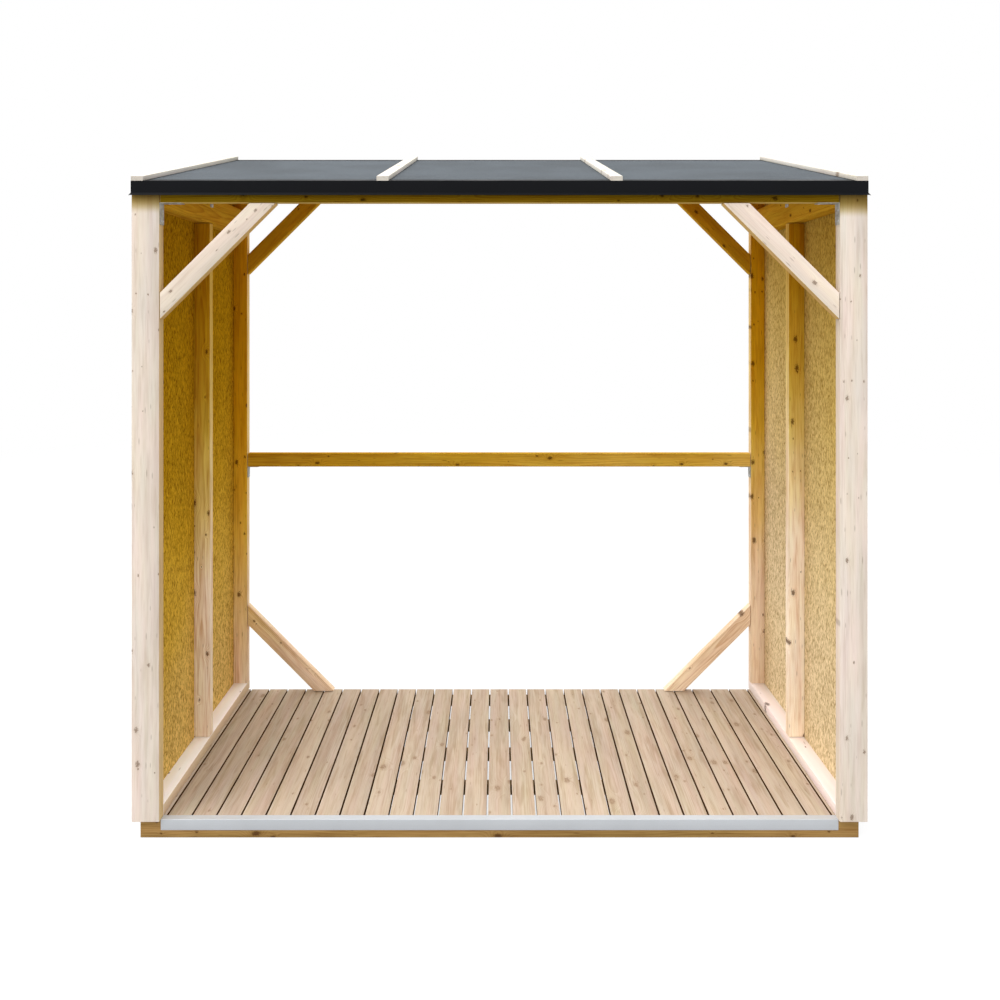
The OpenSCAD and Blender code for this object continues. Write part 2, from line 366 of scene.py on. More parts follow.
def lay_grain(piece, along, across):
    """Stores where each point lies in the log that the board was sawn from, and each face's kind."""
    draw = draw_for(piece.name)
    thick = along.cross(across)
    corners = [v.co for v in piece.data.vertices]
    middle = sum(corners, Vector()) / len(corners)
    start = Vector([draw.uniform(*limits) for limits in LOG_RANGES])
    grain = piece.data.attributes.new("grain", "FLOAT_VECTOR", "POINT")
    for vertex, value in zip(piece.data.vertices, grain.data):
        place = vertex.co - middle
        value.vector = start + Vector((place.dot(along), place.dot(across), place.dot(thick)))
    board_tone = draw.uniform(-1, 1)
    side = -1 if middle.x < 0 else 1

    # Painted shade: faces that look down take the whole inner tint, and faces that look inwards take far
    # more of it on the left than on the right.
    def inner_shade_share(normal):
        if normal.z < -DOWNWARD_LEAN:
            return 1.0
        return INNER_SHADE_SHARES[side] if normal.x * side < -INWARD_LEAN else 0.0

    face_values(piece, "tone", lambda normal: board_tone)
    face_values(piece, "end_cut", lambda normal: float(abs(normal.dot(along)) > END_LEAN))
    face_values(piece, "flank", lambda normal: float(abs(normal.dot(across)) > FLANK_LEAN))
    face_values(piece, "outside", lambda normal: float(normal.y > BACKWARD_LEAN))
    face_values(piece, "inner", inner_shade_share)


def draw_for(name):
    """Random numbers that belong to one piece, whatever is modelled before it."""
    return random.Random(f"{name} {bpy.context.scene.log_store_timber.seed}")


def planed(name, low, high, along, cuts=(), gap_axis=None, arris=None):
    """A planed board with eased edges. Cuts are planes, as points and normals, and the
    board is shortened by the joint gap at both ends where gap_axis says so."""
    sizes = bpy.context.scene.log_store_timber
    low, high = low.copy(), high.copy()
    if gap_axis is not None:
        low[gap_axis] += sizes.joint_gap
        high[gap_axis] -= sizes.joint_gap
    piece = add_block(name, low, high)
    with editing(piece):
        for point, normal in cuts:
            cut_away(point, normal)
        select_parts("edges", runs_along(along))
        bevel_selected(arris or sizes.arris)
        select_parts("edges", lambda edge: len(edge.link_faces) == 2 and is_end_edge(edge, along))
        bevel_selected(sizes.end_arris, 1)
    smooth(piece)
    return piece


def timbers(nodes, finish, kind, along, across, cuts=(), gap_axis=None):
    """One planed timber and its copies, one for each of the nodes, which are all of one size."""
    first_low, first_high = box(nodes[0])
    first = planed(f"{nodes[0]}_planed", first_low, first_high, along, cuts, gap_axis)
    pieces = [first]
    for node in nodes[1:]:
        pieces.append(copy_piece(first, f"{node}_planed", box(node)[0] - first_low))
    for piece, node in zip(pieces, nodes):
        lay_grain(piece, along, across)
        place_piece(piece, finish, wood_material(kind), node)


def copies_beside(first, count, step):
    """A board and its copies, each a step further on."""
    name = first.name.removesuffix("1")
    return [first] + [copy_piece(first, f"{name}{i + 1}", step * i) for i in range(1, count)]


def join_boards(name, boards, kind, node, along, across):
    """Joins boards into one piece that stands for a node, after each has had its own grain."""
    for board in boards:
        lay_grain(board, along, across)
    place_piece(join(name, boards), f"{kind}_wood", wood_material(kind), node)


def both_sides(part):
    return [f"{side}_{part}" for side in SIDES]


def is_end_edge(edge, along):
    """True between a sawn end and a side of a board."""
    ends = [abs(face.normal.dot(along)) > END_LEAN for face in edge.link_faces]
    return ends[0] != ends[1]


def paint(piece, material):
    piece.data.materials.clear()
    piece.data.materials.append(material)


def place_piece(piece, slot, material, *nodes):
    """Gives a finished piece its material and its body, and hides the nodes that it stands for."""
    paint(piece, material)
    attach(piece, "root")
    if nodes:
        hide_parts(*nodes)


# ---------------------------------------------------------------- shader helpers


VECTOR = "NodeSocketVector"
FLOAT = "NodeSocketFloat"
COLOUR = "NodeSocketColor"


class Net:
    """Adds nodes to a tree and links them."""

    def __init__(self, tree):
        self.tree = tree

    def add(self, kind, inputs=None, **settings):
        node = self.tree.nodes.new(kind)
        for key, value in settings.items():
            setattr(node, key, value)
        for key, value in (inputs or {}).items():
            self.feed(node.inputs[key], value)
        return node

    def feed(self, socket, value):
        if isinstance(value, bpy.types.NodeSocket):
            self.tree.links.new(value, socket)
        else:
            socket.default_value = value

    def math(self, operation, a, b=0.0, c=0.0, clamp=False):
        node = self.add("ShaderNodeMath", {0: a, 1: b, 2: c}, operation=operation, use_clamp=clamp)
        return node.outputs[0]

    def plus(self, *values):
        total = values[0]
        for value in values[1:]:
            total = self.math("ADD", total, value)
        return total

    def minus(self, a, b):
        return self.math("SUBTRACT", a, b)

    def times(self, a, b):
        return self.math("MULTIPLY", a, b)

    def over(self, a, b):
        return self.math("DIVIDE", a, b)

    def step(self, value, low, high, to_low=0.0, to_high=1.0):
        """A smooth step between two values."""
        inputs = {"Value": value, "From Min": low, "From Max": high, "To Min": to_low, "To Max": to_high}
        return self.add("ShaderNodeMapRange", inputs, interpolation_type="SMOOTHSTEP").outputs["Result"]

    def blend(self, factor, a, b):
        return self.add("ShaderNodeMix", {0: factor, 2: a, 3: b}).outputs[0]

    def mix(self, factor, a, b, blend="MIX"):
        node = self.add("ShaderNodeMix", {0: factor, 6: a, 7: b}, data_type="RGBA", blend_type=blend)
        return node.outputs[2]

    def tinted(self, base, tint):
        return self.mix(1.0, base, tint, "MULTIPLY")

    def vector(self, operation, a, b=(0, 0, 0)):
        outputs = self.add("ShaderNodeVectorMath", {0: a, 1: b}, operation=operation).outputs
        return outputs["Value" if operation == "LENGTH" else "Vector"]

    def axes(self, source):
        return self.add("ShaderNodeSeparateXYZ", {0: source}).outputs

    def channels(self, source):
        return self.add("ShaderNodeSeparateColor", {0: source}).outputs

    def noise(self, source, factors=None, detail=2.0, roughness=0.5, output="Fac"):
        """Noise at a place, which is stretched by the factors first."""
        place = self.vector("MULTIPLY", source, factors) if factors else source
        inputs = {"Vector": place, "Scale": 1.0, "Detail": detail, "Roughness": roughness}
        return self.add("ShaderNodeTexNoise", inputs).outputs[output]

    def cells(self, x, y, randomness):
        """Scattered points, one in a cell, as (place, node outputs, the cell's random channels)."""
        place = self.add("ShaderNodeCombineXYZ", {"X": x, "Y": y}).outputs[0]
        inputs = {"Vector": place, "Scale": 1.0, "Randomness": randomness}
        node = self.add("ShaderNodeTexVoronoi", inputs, voronoi_dimensions="2D", feature="F1")
        return place, node.outputs, self.channels(node.outputs["Color"])

    def attribute(self, name, output="Fac"):
        return self.add("ShaderNodeAttribute", attribute_name=name).outputs[output]

    def place(self):
        return self.add("ShaderNodeTexCoord").outputs["Object"]


def new_group(name, inputs, outputs):
    """An empty shader group with named sockets, as (net, input node outputs, output node)."""
    tree = bpy.data.node_groups.new(name, "ShaderNodeTree")
    for way, sockets in (("INPUT", inputs), ("OUTPUT", outputs)):
        for kind, labels in sockets.items():
            for label in labels:
                tree.interface.new_socket(name=label, in_out=way, socket_type=kind)
    net = Net(tree)
    return net, net.add("NodeGroupInput").outputs, net.add("NodeGroupOutput")


def give_out(net, out, **values):
    for label, value in values.items():
        net.feed(out.inputs[label], value)
    return net.tree


def deepen_by_shade(net, base, tint, amount):
    """Deepens a colour by a tint, more where the amount is higher; it lays the painted shade on wood and
    strand board.
    """
    parts = net.channels(tint)
    powers = {i: net.math("POWER", parts[i], amount) for i in range(3)}
    return net.tinted(base, net.add("ShaderNodeCombineColor", powers).outputs[0])


# Knots on a board's face: their spacing along and across, their radius, and how far they stretch.
BIG_KNOTS = {"along": 0.24, "across": 0.085, "radius": 0.0125, "stretch": 0.6}
SMALL_KNOTS = {"along": 0.16, "across": 0.042, "radius": 0.0055, "stretch": 0.6}
DASHES = {"along": 0.13, "across": 0.028, "radius": 0.0026, "stretch": 0.16}


def knot_field(net, u, v, share, along, across, radius, stretch):
    """Scattered knots, as (presence, distance from the knot's heart, radius)."""
    place, cell, chance = net.cells(net.over(u, along), net.over(v, across), 0.85)
    offset = net.vector("SUBTRACT", cell["Position"], place)
    distance = net.vector("LENGTH", net.vector("MULTIPLY", offset, (along * stretch, across, 0.0)))
    size = net.math("MULTIPLY_ADD", chance["Green"], radius * 0.55, radius * 0.45)
    return net.math("LESS_THAN", chance["Red"], share), distance, size


RING_SPACING = 0.0034
WANDER = 0.022
GAP_SHADE = (0.09, 0.04, 0.016, 1)
# How many times in a metre each pattern of the wood changes, along the grain and across it.
PATTERNS = {
    "wander": (1.1, 4.0),
    "ragged": (210.0, 430.0),
    "broad": (1.6, 30.0),
    "streak": (7.0, 105.0),
    "fibre": (14.0, 520.0),
    "cloud": (2.2, 9.0),
    "blush": (2.4, 24.0),
    "stain": (3.4, 34.0),
}


def pattern(net, grain, name, detail=2.0, roughness=0.5, output="Fac"):
    along, across = PATTERNS[name]
    return net.noise(grain, (along, across, across), detail, roughness, output)


@cache
def wood_group():
    """Planed softwood: fine year rings that bend round knots, streaks, fibres and sawn ends, with
    painted shade laid on by a mask and on faces that look inwards or down.
    """
    net, given, out = new_group(
        "Planed softwood",
        {
            VECTOR: ["Grain"],
            FLOAT: [
                "Tone", "End", "Flank", "Inner", "Outside", "Shelter", "Inner Shelter", "Contrast",
                "Streaks", "Knot Share", "Knot Heart", "Knot Size", "Stains", "Tone Range",
            ],
            COLOUR: ["Early", "Late", "Tint", "Inner Tint", "Knot"],
        },
        {COLOUR: ["Color"], FLOAT: ["Roughness", "Height"]},
    )
    grain, early, late_wood, knot = (given[label] for label in ("Grain", "Early", "Late", "Knot"))
    wander = pattern(net, grain, "wander", output="Color")
    warp = net.vector("MULTIPLY", net.vector("SUBTRACT", wander, (0.5, 0.5, 0.5)), (0, WANDER, WANDER))
    place = net.axes(net.vector("ADD", grain, warp))
    flat = net.axes(grain)
    ragged = pattern(net, grain, "ragged", 3.0, 0.6)

    share = net.times(net.minus(1.0, given["Inner"]), given["Knot Share"])
    few = net.times(share, 0.55)
    big = knot_field(net, flat["X"], flat["Y"], share, **BIG_KNOTS)
    small = knot_field(net, net.plus(flat["X"], 3.7), flat["Y"], few, **SMALL_KNOTS)
    dash = knot_field(net, net.plus(flat["X"], 8.1), flat["Y"], few, **DASHES)
    knots = []
    bend = 0.0
    for presence, distance, size in (big, small):
        size = net.times(size, given["Knot Size"])
        inside = net.plus(net.over(distance, size), net.step(ragged, 0.3, 0.7, -0.5, 0.5))
        core = net.times(presence, net.step(inside, 1.05, 0.75))
        rim = net.times(presence, net.step(inside, 2.3, 1.0))
        far = net.over(distance, net.times(size, 2.4))
        halo = net.math("EXPONENT", net.times(net.times(far, far), -1.0))
        bend = net.plus(bend, net.times(net.times(halo, presence), net.times(size, 1.6)))
        knots.append((core, rim, inside))
    dashes = net.times(dash[0], net.step(net.over(dash[1], dash[2]), 1.3, 0.4))

    square = net.plus(net.times(place["Y"], place["Y"]), net.times(place["Z"], place["Z"]))
    radius = net.plus(net.math("SQRT", square), bend)
    turn = net.math("FRACT", net.over(radius, RING_SPACING))
    late = net.times(net.math("POWER", turn, 2.0), net.step(turn, 1.0, 0.86))
    broad = pattern(net, grain, "broad", 3.0)
    streak = pattern(net, grain, "streak", 3.0)
    fibre = pattern(net, grain, "fibre")
    cloud = pattern(net, grain, "cloud")
    blush = pattern(net, net.vector("ADD", grain, (3, 1, 2)), "blush", output="Color")
    stain = pattern(net, net.vector("ADD", grain, (5, 2, 1)), "stain", 3.0)
    bands = net.plus(
        net.step(broad, 0.38, 0.74, 0.0, 0.42),
        net.step(streak, 0.44, 0.72, 0.0, 0.38),
        net.step(fibre, 0.35, 0.75, -0.08, 0.14),
        net.times(net.step(stain, 0.56, 0.68), given["Stains"]),
    )
    ring = net.times(late, given["Contrast"])
    ring = net.math("MULTIPLY_ADD", bands, given["Streaks"], ring, clamp=True)
    wood = net.mix(ring, early, late_wood)
    level = net.math("MULTIPLY_ADD", given["Tone"], given["Tone Range"], 1.0)
    wood = net.tinted(wood, net.plus(level, net.step(cloud, 0.3, 0.7, -0.045, 0.045)))
    hue = net.vector("MULTIPLY", blush, (0.14, 0.14, 0.14))
    wood = net.tinted(wood, net.vector("ADD", hue, (0.93, 0.93, 0.93)))
    for core, rim, inside in knots:
        heart = net.mix(net.step(inside, 0.2, 0.9, given["Knot Heart"], 1.0), late_wood, knot)
        wood = net.mix(net.times(rim, 0.28), wood, late_wood)
        wood = net.mix(net.times(core, 0.85), wood, heart)
    wood = net.mix(net.times(dashes, 0.42), wood, knot)
    # Painted shade: the tint deepens with the shade mask, less on faces that look inwards or back, and
    # the inner tint paints shade on faces that look inwards or down.
    bare = net.times(net.minus(1.0, given["Inner Shelter"]), net.step(given["Inner"], 0.0, 0.05))
    kept = net.times(net.minus(1.0, bare), net.step(given["Outside"], 0.0, 1.0, 1.0, 0.15))
    wood = deepen_by_shade(net, wood, given["Tint"], net.times(given["Shelter"], kept))
    wood = net.mix(given["Inner"], wood, net.tinted(wood, given["Inner Tint"]))
    sawn = net.mix(net.times(ring, 0.5), net.mix(0.45, late_wood, early), knot)
    wood = net.mix(net.times(given["End"], 0.55), wood, sawn)
    wood = net.mix(given["Flank"], wood, GAP_SHADE)

    rough = net.math("MULTIPLY_ADD", ring, 0.14, 0.46)
    rough = net.math("MULTIPLY_ADD", given["End"], 0.2, rough, clamp=True)
    height = net.plus(net.times(late, 0.35), net.times(fibre, 0.65))
    return give_out(net, out, Color=wood, Roughness=rough, Height=height)


@cache
def painted_shade_group():
    """A mask of painted shade that rises with height, from open wood to wood that stays under the roof.
    """
    net, given, out = new_group(
        "Shelter",
        {VECTOR: ["Position"], FLOAT: ["From", "To", "Patches", "Lean", "Rake"]},
        {FLOAT: ["Mask"]},
    )
    place = net.axes(given["Position"])
    height = net.minus(place["Z"], net.times(place["X"], given["Lean"]))
    height = net.minus(height, net.times(place["Y"], given["Rake"]))
    patch = net.step(net.noise(given["Position"], (2.2, 2.2, 2.2)), 0.3, 0.7, -1.0, 1.0)
    height = net.plus(height, net.times(patch, given["Patches"]))
    return give_out(net, out, Mask=net.step(height, given["From"], given["To"]))


# Each layer of chips, from the lowest: its turn in degrees, its shift, and the share left bare.
CHIP_LAYERS = ((6, 0.0, 0.0), (-17, 5.3, 0.5), (28, 9.1, 0.72))
CHIP_LENGTH = 0.026
CHIP_WIDTH = 0.008


@cache
def strand_group():
    """Pressed strand board: three layers of chips that lie mostly along one way."""
    net, given, out = new_group(
        "Strand board",
        {VECTOR: ["Position"], FLOAT: ["Shelter"], COLOUR: ["Light", "Dark", "Sheltered"]},
        {COLOUR: ["Color"], FLOAT: ["Roughness", "Height"]},
    )
    position = given["Position"]
    place = net.axes(position)
    drift = net.channels(net.noise(position, (9.0, 9.0, 4.0), 1.0, output="Color"))
    y = net.math("MULTIPLY_ADD", drift["Red"], 0.02, place["Y"])
    shade, height = None, None
    for degrees, shift, bare in CHIP_LAYERS:
        cos, sin = math.cos(math.radians(degrees)), math.sin(math.radians(degrees))
        z = net.plus(place["Z"], shift)
        along = net.minus(net.times(z, cos), net.times(y, sin))
        across = net.plus(net.times(y, cos), net.times(z, sin))
        _, cell, chance = net.cells(net.over(along, CHIP_LENGTH), net.over(across, CHIP_WIDTH), 1.0)
        edge = net.step(cell["Distance"], 0.3, 0.7, -0.05, 0.3)
        chip = net.math("MULTIPLY_ADD", chance["Red"], 0.42, 0.05)
        chip = net.math("ADD", chip, edge, clamp=True)
        if shade is None:
            shade, height = chip, chance["Blue"]
            continue
        top = net.math("GREATER_THAN", chance["Green"], bare)
        shade = net.blend(top, shade, chip)
        height = net.blend(top, height, chance["Blue"])
    fibre = net.noise(position, (95.0, 95.0, 42.0))
    cloud = net.noise(position, (3.0, 3.0, 1.4))
    fleck = net.noise(position, (170.0, 170.0, 75.0), 1.0)
    shade = net.plus(shade, net.step(fibre, 0.34, 0.66, -0.2, 0.2))
    shade = net.plus(shade, net.step(fleck, 0.54, 0.7, -0.06, 0.5))
    shade = net.math("ADD", shade, net.step(cloud, 0.3, 0.7, -0.07, 0.07), clamp=True)
    board = net.mix(shade, given["Light"], given["Dark"])
    # Painted shade: the sheltered tint deepens the board where the shade mask rises.
    board = deepen_by_shade(net, board, given["Sheltered"], given["Shelter"])
    rough = net.math("MULTIPLY_ADD", shade, 0.2, 0.55)
    return give_out(net, out, Color=board, Roughness=rough, Height=height)


@cache
def speckle_group():
    """Fine grains and broad patches, for felt, paint and metal."""
    net, given, out = new_group(
        "Speckle",
        {
            VECTOR: ["Position"],
            FLOAT: ["Grain Size", "Patch Size", "Share", "Patch Depth", "Bright"],
            COLOUR: ["Base", "Speck"],
        },
        {COLOUR: ["Color"], FLOAT: ["Mask", "Patch"]},
    )
    fine = net.vector("DIVIDE", given["Position"], given["Grain Size"])
    wide = net.vector("DIVIDE", given["Position"], given["Patch Size"])
    patch = net.noise(wide, None, 3.0, 0.6)
    mask = net.times(net.step(net.noise(fine, None, 3.0, 0.7), 0.38, 0.66), given["Share"])
    level = net.math("MULTIPLY_ADD", net.step(patch, 0.3, 0.7, -1.0, 1.0), given["Patch Depth"], 1.0)
    surface = net.mix(mask, given["Base"], given["Speck"])
    surface = net.mix(given["Bright"], surface, given["Speck"])
    return give_out(net, out, Color=net.tinted(surface, level), Mask=mask, Patch=patch)


# ---------------------------------------------------------------- materials


def new_material(name):
    """An empty material with a Principled shader, as (material, net, shader)."""
    material = bpy.data.materials.new(name)
    material.use_nodes = True
    return material, Net(material.node_tree), material.node_tree.nodes["Principled BSDF"]


def bump(net, shader, height, depth, strength):
    node = net.add("ShaderNodeBump", {"Height": height, "Distance": depth, "Strength": strength})
    net.feed(shader.inputs["Normal"], node.outputs["Normal"])


def matt(net, shader, group, depth, strength):
    """Feeds a group's colour, roughness and height to a shader that has no gloss."""
    net.feed(shader.inputs["Base Color"], group.outputs["Color"])
    net.feed(shader.inputs["Roughness"], group.outputs["Roughness"])
    shader.inputs["Specular IOR Level"].default_value = 0.0
    bump(net, shader, group.outputs["Height"], depth, strength)


def add_group(net, group, look, inputs):
    """Places a group. Sockets that share a name with something in the look take it, and a text in
    the look is the name of a colour."""
    colours = bpy.context.scene.log_store_colours
    node = net.add("ShaderNodeGroup", inputs, node_tree=group)
    for key, value in look.items():
        socket = node.inputs.get(key.replace("_", " ").title())
        if socket is not None:
            socket.default_value = getattr(colours, value) if isinstance(value, str) else value
    return node


def painted_shade(net, start, end, patches, lean=0.07, rake=0.0):
    """The mask of painted shade at the shaded point."""
    look = {"from": start, "to": end, "patches": patches, "lean": lean, "rake": rake}
    return add_group(net, painted_shade_group(), look, {"Position": net.place()}).outputs["Mask"]


def wood(early, late, **changes):
    """What one kind of wood looks like. The rise is where the painted shade starts and ends, in height.
    """
    plain = {
        "knot": "knot", "tint": "amber", "inner_tint": "plain", "contrast": 0.4, "streaks": 0.9,
        "knot_share": 0.6, "knot_heart": 0.9, "knot_size": 1.0, "stains": 0.0, "tone_range": 0.05,
        "inner_shelter": 1.0, "rise": None, "patches": 0.08, "lean": 0.07, "dark_gaps": False,
        "depth": 0.00025,
    }
    return {**plain, "early": early, "late": late, **changes}


# Painted shade in these woods: a rise lays a tint that deepens with height and leans sideways, the front
# posts' tint is a painted shadow under the front trim, the header's darkens nearly all of it, the sole's
# darkens the right sole plate, and inner tints darken faces that look inwards or down.
WOODS = {
    "front": wood("front_early", "front_late", knot="bleached_knot", tint="eaves", inner_tint="tan",
                  contrast=0.3, knot_share=0.55, knot_size=0.6, tone_range=0.015,
                  rise=(2.49, 2.575), patches=0.02, lean=0.0),
    "brace": wood("brace_early", "brace_late", knot="bleached_knot", inner_tint="brace_tan",
                  contrast=0.3, streaks=0.8, knot_size=0.7, tone_range=0.015),
    "deck": wood("deck_early", "deck_late", knot="deck_knot", contrast=0.5, streaks=1.0,
                 knot_share=0.3, knot_heart=0.2, stains=0.45, tone_range=0.03, dark_gaps=True),
    "stud": wood("stud_early", "stud_late", tint="stud_amber", contrast=0.7, streaks=1.2,
                 knot_size=0.8, rise=(0.85, 2.5), inner_shelter=0.35, lean=0.1),
    "back": wood("frame_early", "frame_late", contrast=0.8, streaks=1.2,
                 knot_size=0.8, rise=(0.4, 2.15), inner_shelter=0.15, lean=0.15),
    "beam": wood("frame_early", "frame_late", tint="beam_amber", contrast=0.8, streaks=1.2,
                 knot_size=0.8, rise=(0.35, 1.95), inner_shelter=0.75, lean=0.15),
    "header": wood("frame_early", "frame_late", tint="header_amber", contrast=1.0,
                   rise=(0.0, 1.5), inner_shelter=0.3),
    "sole": wood("sole_early", "sole_late", tint="sole_shade", inner_tint="sole_tan", contrast=0.2,
                 streaks=0.35, knot_share=0.12, tone_range=0.01, rise=(-1.4, 1.4), lean=-1.0),
    "base": wood("base_early", "base_late", contrast=0.5, depth=0.0004),
    "cladding": wood("cladding_early", "cladding_late", streaks=0.8, knot_share=0.28, tone_range=0.07),
    "roof": wood("frame_early", "frame_late", tone_range=0.07, rise=(0.0, 1.7)),
    "batten": wood("batten_early", "batten_late", knot="bleached_knot", depth=0.0005),
}
FACE_NUMBERS = {"Tone": "tone", "End": "end_cut", "Inner": "inner", "Outside": "outside"}


@cache
def wood_material(kind):
    look = WOODS[kind]
    material, net, shader = new_material(f"Wood {kind}")
    inputs = {label: net.attribute(name) for label, name in FACE_NUMBERS.items()}
    inputs["Grain"] = net.attribute("grain", "Vector")
    if look["dark_gaps"]:
        inputs["Flank"] = net.attribute("flank")
    if look["rise"]:
        inputs["Shelter"] = painted_shade(net, *look["rise"], look["patches"], look["lean"])
    matt(net, shader, add_group(net, wood_group(), look, inputs), look["depth"], strength=0.6)
    return material


# Heights where a wall sheet's painted shade starts and ends, and how much later it comes towards the
# back; the left sheet's starts lower.
SHEET_RISE = {"left": (0.15, 2.2, 0.2), "right": (0.35, 3.5, 0.7)}


@cache
def strand_material(side):
    material, net, shader = new_material(f"Strand board {side}")
    start, end, rake = SHEET_RISE[side]
    # Painted light and shade: each side takes its own colours, the left a shaded copy of one board and
    # the right a lit one.
    look = {"light": f"{side}_light", "dark": f"{side}_dark", "sheltered": f"{side}_amber"}
    inputs = {"Position": net.place(), "Shelter": painted_shade(net, start, end, 0.1, rake=rake)}
    matt(net, shader, add_group(net, strand_group(), look, inputs), depth=0.0006, strength=0.7)
    return material


SPECKLED = {
    "felt": {
        "name": "Felt", "base": "felt", "speck": "felt_grain", "grain_size": 0.0022, "patch_size": 0.45,
        "share": 0.9, "patch_depth": 0.14, "metallic": 0.0, "roughness": (0.8, 0.95), "specular": 0.25,
        "depth": 0.0006,
    },
    "trim": {
        "name": "Trim paint", "base": "trim", "speck": "trim", "grain_size": 0.004, "patch_size": 0.5,
        "share": 0.3, "patch_depth": 0.15, "metallic": 0.0, "roughness": (0.38, 0.55), "specular": 0.1,
        "depth": 0.00005,
    },
    "sill": {
        "name": "Aluminium", "base": "sill", "speck": "zinc", "grain_size": 0.003, "patch_size": 0.3,
        "share": 0.15, "patch_depth": 0.04, "metallic": 0.35, "roughness": (0.42, 0.52),
        "specular": 0.4, "depth": 0.00005,
    },
    "zinc": {
        "name": "Zinc", "base": "zinc", "speck": "sill", "grain_size": 0.006, "patch_size": 0.03,
        "share": 0.35, "patch_depth": 0.3, "metallic": 0.6, "roughness": (0.45, 0.6), "specular": 0.3,
        "depth": 0.0001,
    },
}


@cache
def speckled_material(kind):
    """Felt, paint or metal: grains of one colour on another, in broad patches."""
    look = SPECKLED[kind]
    material, net, shader = new_material(look["name"])
    inputs = {"Position": net.place(), "Bright": net.attribute("bright")}
    group = add_group(net, speckle_group(), look, inputs)
    net.feed(shader.inputs["Base Color"], group.outputs["Color"])
    roughness = net.step(group.outputs["Patch"], 0.3, 0.7, *look["roughness"])
    net.feed(shader.inputs["Roughness"], roughness)
    shader.inputs["Metallic"].default_value = look["metallic"]
    shader.inputs["Specular IOR Level"].default_value = look["specular"]
    bump(net, shader, group.outputs["Mask"], look["depth"], strength=0.6)
    return material


# ---------------------------------------------------------------- operators


class LOGSTORE_OT_base(Operator):
    """Model the treated rim board and the joists under the deck"""

    bl_idname = "logstore.base"
    bl_label = "Base"

    def execute(self, context):
        joists = [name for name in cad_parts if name.startswith("joist_")]
        timbers(["front_rim"], "base_wood", "base", X, Z)
        timbers(joists, "base_wood", "base", X, Y)
        return {"FINISHED"}


class LOGSTORE_OT_deck(Operator):
    """Model the deck boards one by one, with eased edges"""

    bl_idname = "logstore.deck"
    bl_label = "Deck boards"

    def execute(self, context):
        spans = board_spans("deck_boards")
        low, high = box("deck_boards")
        left, right = spans[0]
        arris = context.scene.log_store_timber.deck_arris
        first = planed(
            "deck_board_1", Vector((left, low.y, low.z)), Vector((right, high.y, high.z)), Y, arris=arris
        )
        boards = [first]
        for i, (x0, _) in enumerate(spans[1:], 2):
            boards.append(copy_piece(first, f"deck_board_{i}", X * (x0 - left)))
        join_boards("deck_planed_boards", boards, "deck", "deck_boards", Y, X)
        return {"FINISHED"}


def fold_out(direction, height, distance):
    """Draws the part above a height out to one side, in edit mode, as the second leg of an angle."""
    bpy.ops.mesh.select_all(action="SELECT")
    bpy.ops.mesh.bisect(plane_co=(0, 0, height), plane_no=(0, 0, 1))
    outer = faces(direction)
    select_parts("faces", lambda face: outer(face) and face.calc_center_median().z > height)
    bpy.ops.mesh.extrude_region_move(TRANSFORM_OT_translate={"value": direction * distance})


def board_spans(node):
    """The X ranges of a node's separate boards, from left to right."""
    xs = sorted({round(v.co.x, 5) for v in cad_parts[node].data.vertices})
    return list(zip(xs[0::2], xs[1::2]))


class LOGSTORE_OT_sill(Operator):
    """Fold the aluminium strip over the front edge of the deck"""

    bl_idname = "logstore.sill"
    bl_label = "Sill strip"

    def execute(self, context):
        low, high = box("sill_strip")
        metal = high.z - DECK_Z
        bend, burr = metal * 0.9, metal * 0.3
        strip = add_block("sill_strip_folded", low, Vector((high.x, low.y + metal, high.z)))
        with editing(strip):
            fold_out(Y, DECK_Z, high.y - low.y - metal)
            select_parts("edges", lambda edge: on_plane(edge, Y, low.y) and on_plane(edge, Z, high.z))
            bevel_selected(bend, 4)
            select_parts("edges", lambda edge: runs_along(X)(edge) and on_plane(edge, Z, low.z))
            bevel_selected(burr, 2)
        smooth(strip)
        place_piece(strip, "sill_metal", speckled_material("sill"), "sill_strip")
        return {"FINISHED"}


class LOGSTORE_OT_front_frame(Operator):
    """Model the front posts, the front header and its two braces"""

    bl_idname = "logstore.front_frame"
    bl_label = "Front frame"

    def execute(self, context):
        timbers(both_sides("front_post"), "post_wood", "front", Z, X, [ROOF_CUT])
        timbers(["front_header"], "frame_wood", "header", X, Z, [ROOF_CUT], gap_axis=0)
        braces("front_brace", "post_wood", "brace")
        return {"FINISHED"}


def braces(part, finish, kind):
    """A pair of braces at 45 degrees, sawn to fit the post and the level piece."""
    node = f"right_{part}"
    low, high = box(node)
    sizes = bpy.context.scene.log_store_timber
    up = -Z if "lower" in part else Z
    inward = (X + up).normalized()
    along = (X - up).normalized()
    corner = Vector((high.x, (low.y + high.y) / 2, low.z if "lower" in part else high.z))
    leg = high.x - low.x
    half = Vector((sizes.brace_width / 2, (high.y - low.y) / 2, leg * math.sqrt(2)))
    right = add_block(f"{node}_planed", -half, half)
    right.rotation_euler = (0, math.atan2(along.x, along.z), 0)
    right.location = corner - (X + up) * leg / 2 + inward * sizes.brace_width / 2
    apply_transforms(right)
    with editing(right):
        cut_away(corner - X * sizes.joint_gap, X)
        cut_away(corner - up * sizes.joint_gap, up)
        select_parts("edges", runs_along(along))
        bevel_selected(sizes.arris)
    smooth(right)
    left = copy_piece(right, f"left_{part}_planed", Y * (low.y + high.y), HALF_TURN)
    for piece, side in ((left, -1), (right, 1)):
        flip = Vector((side, 1, 1))
        lay_grain(piece, along * flip, inward * flip)
        place_piece(piece, finish, wood_material(kind), piece.name.removesuffix("_planed"))


